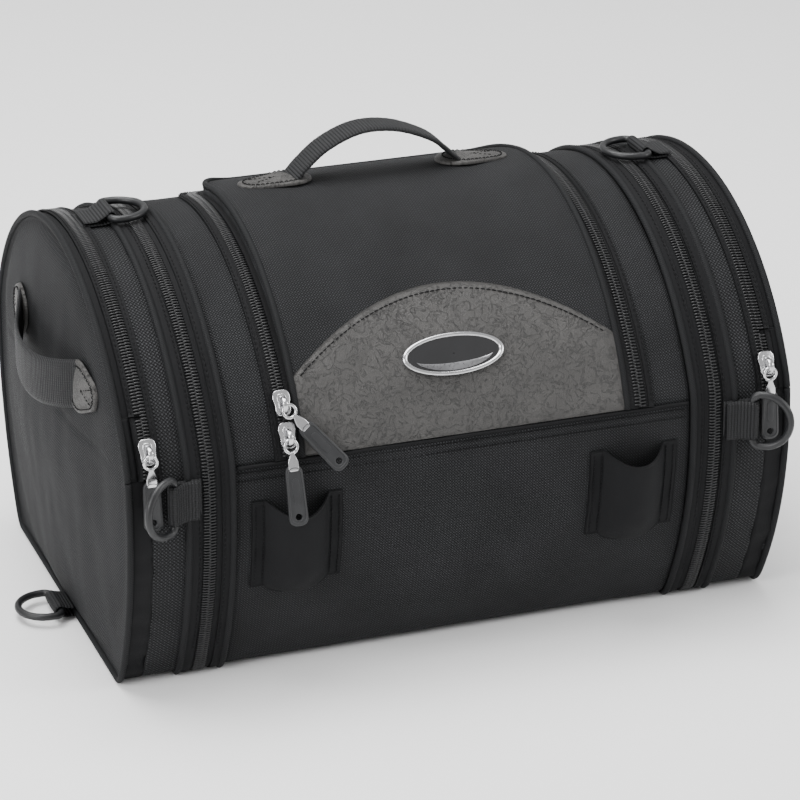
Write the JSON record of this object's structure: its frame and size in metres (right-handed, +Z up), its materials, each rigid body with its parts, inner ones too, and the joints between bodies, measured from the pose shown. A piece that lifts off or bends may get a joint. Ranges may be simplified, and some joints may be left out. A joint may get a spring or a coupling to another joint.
{
  "type": "tail bag",
  "caption": "Barrel-shaped motorcycle tail bag with a forward-opening zipped lid, expanding end pockets, carrying straps, light pockets and tie-down D-rings.",
  "frame": {"origin": "centre of the base on the surface that the bag rests on", "axes": "+X along the bag towards its right-hand end, +Y towards its back, +Z up"},
  "size_m": [0.5054, 0.3386, 0.303],
  "materials": {
    "ballistic_nylon": "coarse basket-weave nylon, matte with a faint sheen",
    "binding_fabric": "smooth black lining and binding cloth",
    "base_board": "stiffener board",
    "piping": "twill-covered cord",
    "zipper_tape": "woven tape with nylon coil teeth",
    "leather": "grained grey-brown leather, semi-matte",
    "webbing": "ribbed nylon webbing",
    "badge_metal": "polished rim",
    "badge_black": "gloss black",
    "slider_metal": "polished nickel",
    "pull_rubber": "dark moulded rubber",
    "ring_metal": "black satin coated wire"
  },
  "bodies": {
    "body": {"base_panel": "ballistic_nylon", "base_board": "base_board", "front_panel": "ballistic_nylon", "back_panel": "ballistic_nylon", "left_shoulder": "ballistic_nylon", "right_shoulder": "ballistic_nylon", "dividers": "binding_fabric", "inner_piping": "piping", "expansion_zip_inner": "zipper_tape", "expansion_pleats": "binding_fabric", "lid_zip_body": "zipper_tape", "left_light_pocket": "binding_fabric", "right_light_pocket": "binding_fabric"},
    "lid": {"lid_panel": "ballistic_nylon", "lid_piping": "piping", "lid_zip_lid": "zipper_tape", "leather_patch": "leather", "badge_bezel": "badge_metal", "badge_inlay": "badge_black", "handle_tabs": "leather", "lid_slider_lower": "slider_metal"},
    "top_handle": {"top_handle": "webbing"},
    "lid_slider": {"lid_slider_upper": "slider_metal"},
    "lid_pull_upper": {"lid_pull_link_upper": "slider_metal", "lid_pull_tab_upper": "pull_rubber"},
    "lid_pull_lower": {"lid_pull_link_lower": "slider_metal", "lid_pull_tab_lower": "pull_rubber"},
    "left_end": {"left_gusset": "ballistic_nylon", "left_zip_tapes": "zipper_tape", "left_pipings": "piping", "left_end_panel": "ballistic_nylon", "left_ring_loops": "webbing"},
    "left_flap": {"left_flap_panel": "ballistic_nylon", "left_flap_zip": "zipper_tape", "left_flap_piping": "piping", "left_side_handle_tabs": "leather"},
    "left_side_handle": {"left_side_handle": "webbing"},
    "left_end_slider": {"left_end_slider": "slider_metal"},
    "left_end_pull": {"left_end_pull": "pull_rubber"},
    "left_expansion_slider": {"left_expansion_slider": "slider_metal"},
    "left_top_ring": {"left_top_ring": "ring_metal"},
    "left_front_ring": {"left_front_ring": "ring_metal"},
    "left_bottom_ring": {"left_bottom_ring": "ring_metal"},
    "right_end": {"right_gusset": "ballistic_nylon", "right_zip_tapes": "zipper_tape", "right_pipings": "piping", "right_end_panel": "ballistic_nylon", "right_ring_loops": "webbing"},
    "right_flap": {"right_flap_panel": "ballistic_nylon", "right_flap_zip": "zipper_tape", "right_flap_piping": "piping", "right_side_handle_tabs": "leather"},
    "right_side_handle": {"right_side_handle": "webbing"},
    "right_end_slider": {"right_end_slider": "slider_metal"},
    "right_end_pull": {"right_end_pull": "pull_rubber"},
    "right_expansion_slider": {"right_expansion_slider": "slider_metal"},
    "right_top_ring": {"right_top_ring": "ring_metal"},
    "right_front_ring": {"right_front_ring": "ring_metal"},
    "right_bottom_ring": {"right_bottom_ring": "ring_metal"}
  },
  "joints": [
    {"name": "lid_hinge", "type": "hinge", "parent": "body", "child": "lid", "pos_m": [0, -0.1586, 0.1501], "axis": [1, 0, 0], "range_deg": [0, 110]},
    {"name": "top_handle_swing", "type": "hinge", "parent": "lid", "child": "top_handle", "pos_m": [0, 0.015, 0.279], "axis": [1, 0, 0], "range_deg": [-40, 40]},
    {"name": "lid_slider_travel", "type": "hinge", "parent": "lid", "child": "lid_slider", "pos_m": [0, 0, 0.0886], "axis": [-1, 0, 0], "range_deg": [0, 14]},
    {"name": "lid_pull_upper_swing", "type": "hinge", "parent": "lid_slider", "child": "lid_pull_upper", "pos_m": [-0.1145, -0.14885, 0.1827], "axis": [-1, 0, 0], "range_deg": [0, 39.6]},
    {"name": "lid_pull_lower_swing", "type": "hinge", "parent": "lid", "child": "lid_pull_lower", "pos_m": [-0.1145, -0.15868, 0.16497], "axis": [-1, 0, 0], "range_deg": [0, 110]},
    {"name": "left_expansion", "type": "slide", "parent": "body", "child": "left_end", "axis": [-1, 0, 0], "range_m": [0, 0.05]},
    {"name": "left_flap_hinge", "type": "hinge", "parent": "left_end", "child": "left_flap", "pos_m": [-0.2265, 0, 0.1503], "axis": [0, -1, 0], "range_deg": [0, 80]},
    {"name": "left_side_handle_swing", "type": "hinge", "parent": "left_flap", "child": "left_side_handle", "pos_m": [-0.243, -0.012, 0.184], "axis": [0, 1, 0], "range_deg": [-30, 30]},
    {"name": "left_end_slider_travel", "type": "hinge", "parent": "left_end", "child": "left_end_slider", "pos_m": [0, 0, 0.0886], "axis": [-1, 0, 0], "range_deg": [0, 125]},
    {"name": "left_end_pull_swing", "type": "hinge", "parent": "left_end_slider", "child": "left_end_pull", "pos_m": [-0.201, -0.15787, 0.16662], "axis": [-1, 0, 0], "range_deg": [0, 100]},
    {"name": "left_expansion_slider_travel", "type": "hinge", "parent": "body", "child": "left_expansion_slider", "pos_m": [0, -0.07713, 0.12439], "axis": [1, 0, 0], "range_deg": [0, 18]},
    {"name": "left_top_ring_swing", "type": "hinge", "parent": "left_end", "child": "left_top_ring", "pos_m": [-0.18, 0.005, 0.2621], "axis": [0, -1, 0], "range_deg": [0, 150]},
    {"name": "left_front_ring_swing", "type": "hinge", "parent": "left_end", "child": "left_front_ring", "pos_m": [-0.188, -0.162, 0.135], "axis": [0, 0, 1], "range_deg": [0, 110]},
    {"name": "left_bottom_ring_swing", "type": "hinge", "parent": "left_end", "child": "left_bottom_ring", "pos_m": [-0.226, -0.012, 0.0066], "axis": [0, 1, 0], "range_deg": [0, 75]},
    {"name": "right_expansion", "type": "slide", "parent": "body", "child": "right_end", "axis": [1, 0, 0], "range_m": [0, 0.05]},
    {"name": "right_flap_hinge", "type": "hinge", "parent": "right_end", "child": "right_flap", "pos_m": [0.2265, 0, 0.1503], "axis": [0, 1, 0], "range_deg": [0, 80]},
    {"name": "right_side_handle_swing", "type": "hinge", "parent": "right_flap", "child": "right_side_handle", "pos_m": [0.243, -0.012, 0.184], "axis": [0, -1, 0], "range_deg": [-30, 30]},
    {"name": "right_end_slider_travel", "type": "hinge", "parent": "right_end", "child": "right_end_slider", "pos_m": [0, 0, 0.0886], "axis": [-1, 0, 0], "range_deg": [0, 125]},
    {"name": "right_end_pull_swing", "type": "hinge", "parent": "right_end_slider", "child": "right_end_pull", "pos_m": [0.201, -0.15787, 0.16662], "axis": [-1, 0, 0], "range_deg": [0, 100]},
    {"name": "right_expansion_slider_travel", "type": "hinge", "parent": "body", "child": "right_expansion_slider", "pos_m": [0, -0.07713, 0.12439], "axis": [1, 0, 0], "range_deg": [0, 18]},
    {"name": "right_top_ring_swing", "type": "hinge", "parent": "right_end", "child": "right_top_ring", "pos_m": [0.18, 0.005, 0.2621], "axis": [0, 1, 0], "range_deg": [0, 150]},
    {"name": "right_front_ring_swing", "type": "hinge", "parent": "right_end", "child": "right_front_ring", "pos_m": [0.188, -0.162, 0.135], "axis": [0, 0, -1], "range_deg": [0, 110]},
    {"name": "right_bottom_ring_swing", "type": "hinge", "parent": "right_end", "child": "right_bottom_ring", "pos_m": [0.226, -0.012, 0.0066], "axis": [0, -1, 0], "range_deg": [0, 75]}
  ],
  "couplings": [
    {"joint": "lid_pull_upper_swing", "follows": "lid_hinge", "ratio": 0.36},
    {"joint": "lid_pull_lower_swing", "follows": "lid_hinge", "ratio": 1},
    {"joint": "left_end_pull_swing", "follows": "left_end_slider_travel", "ratio": 0.8},
    {"joint": "right_end_pull_swing", "follows": "right_end_slider_travel", "ratio": 0.8}
  ]
}
